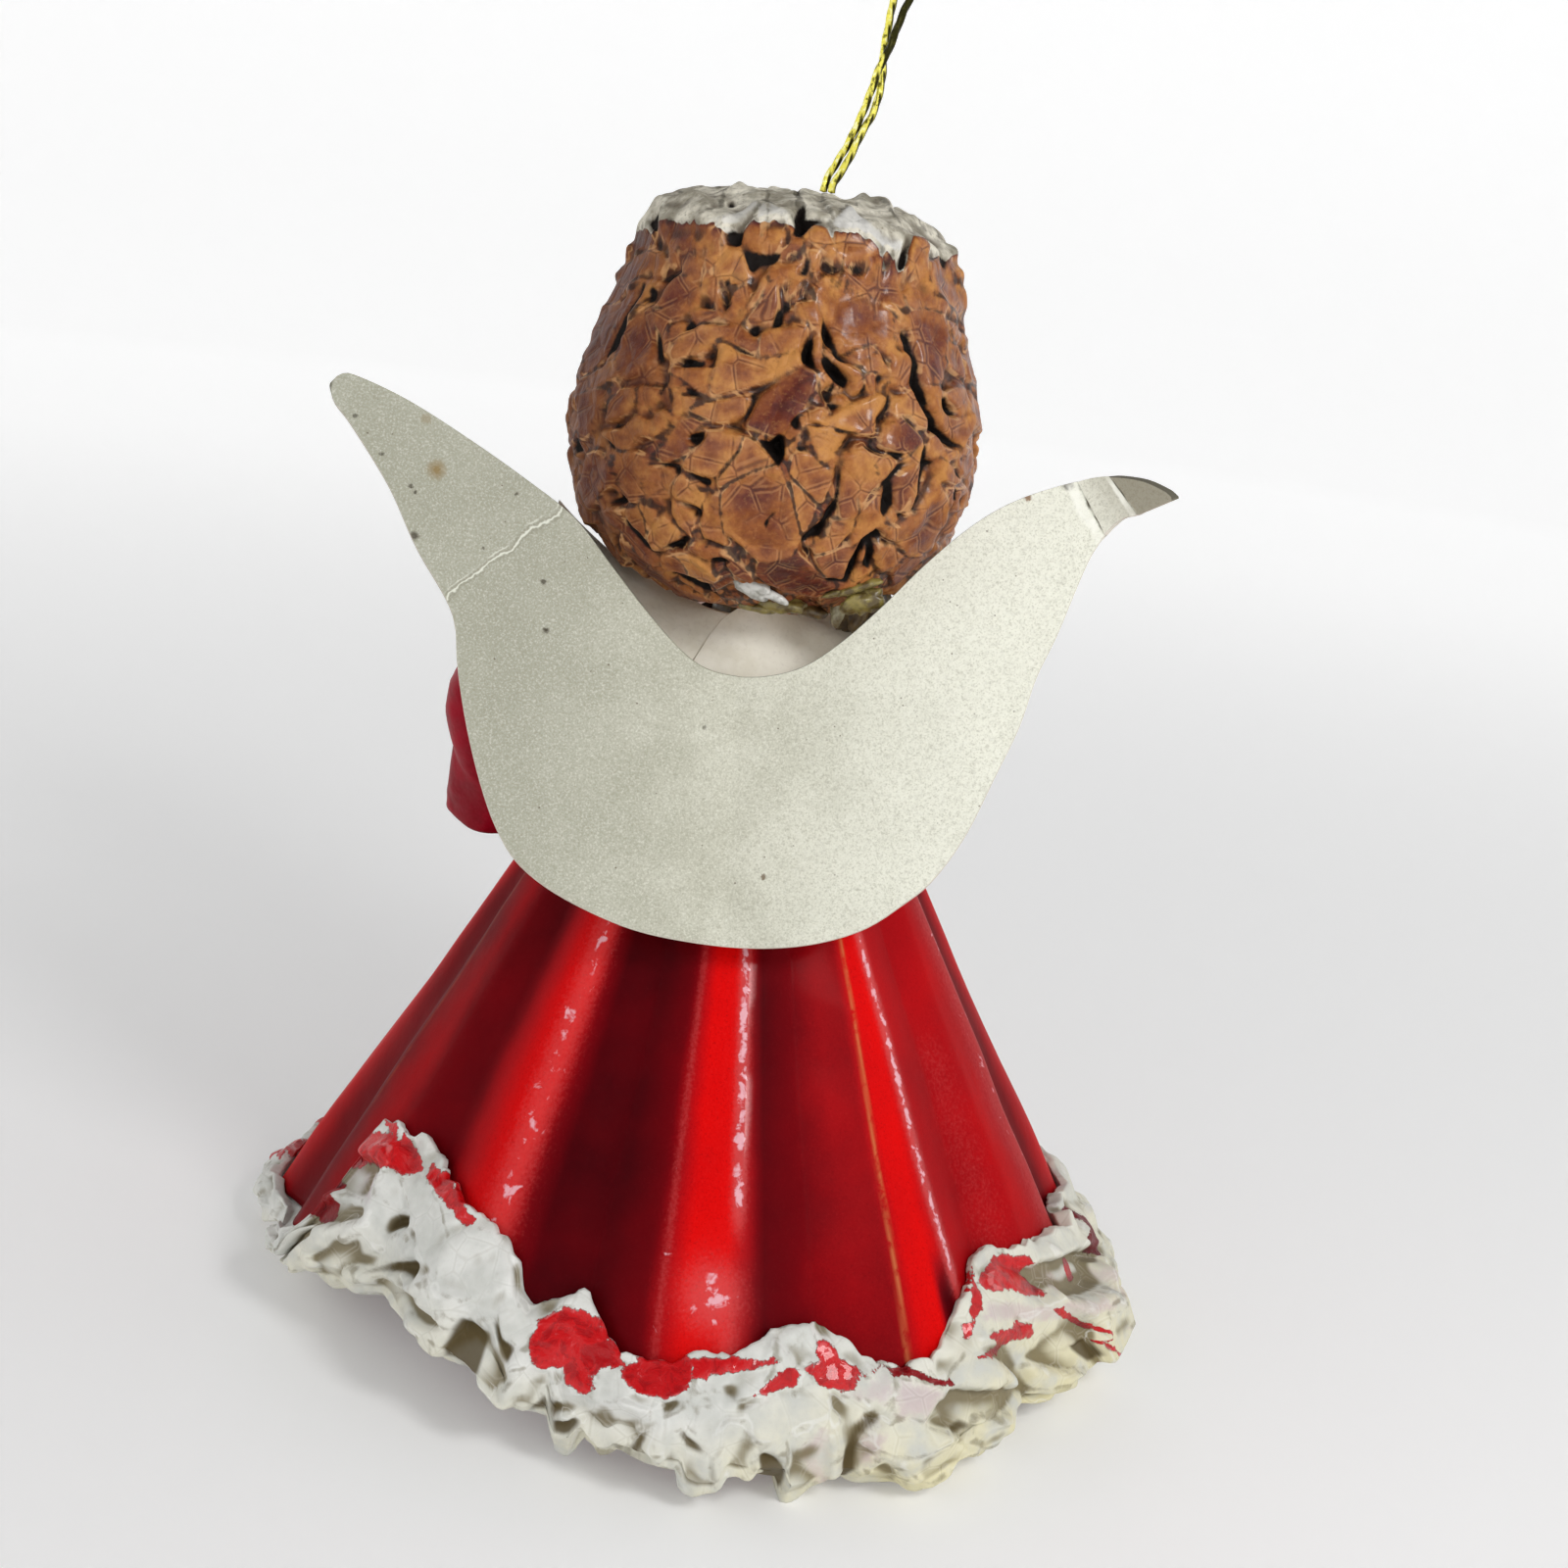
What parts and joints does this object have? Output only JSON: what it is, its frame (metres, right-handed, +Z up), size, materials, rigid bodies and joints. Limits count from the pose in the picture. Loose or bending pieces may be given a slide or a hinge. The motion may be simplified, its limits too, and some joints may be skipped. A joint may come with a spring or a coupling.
{
  "type": "angel ornament",
  "caption": "Papier-mache angel ornament: pleated cone dress with a crumpled trim, folded board wings, crumpled hair and a cord loop to hang it by.",
  "frame": {"origin": "on the ground, under the middle of the hem trim", "axes": "+Z up, -Y the way the face looks, so the wings are at +Y, and +X towards the figure's own left"},
  "size_m": [0.0979, 0.0967, 0.1496],
  "materials": {
    "face_paint": "satin skin-coloured paint on pressed paper pulp",
    "hair_paper": "crumpled caramel-brown paper with satin lacquer",
    "neck_glue": "brown paper soaked with glue",
    "collar_paper": "matte off-white paper",
    "dress_paper": "glossy red lacquer over stiff paper",
    "trim_paper": "matte crumpled white paper with red and lilac paint",
    "sleeve_paper": "glossy red lacquer over paper",
    "wing_board": "matte uncoated grey board",
    "cord_foil": "twisted gold metallic foil"
  },
  "bodies": {
    "root": {"head": "face_paint", "hair": "hair_paper", "neck": "neck_glue", "collar": "collar_paper", "dress": "dress_paper", "hem_trim": "trim_paper", "sleeve_left": "sleeve_paper", "sleeve_right": "sleeve_paper", "wings": "wing_board", "hanging_cord": "cord_foil"}
  },
  "joints": []
}
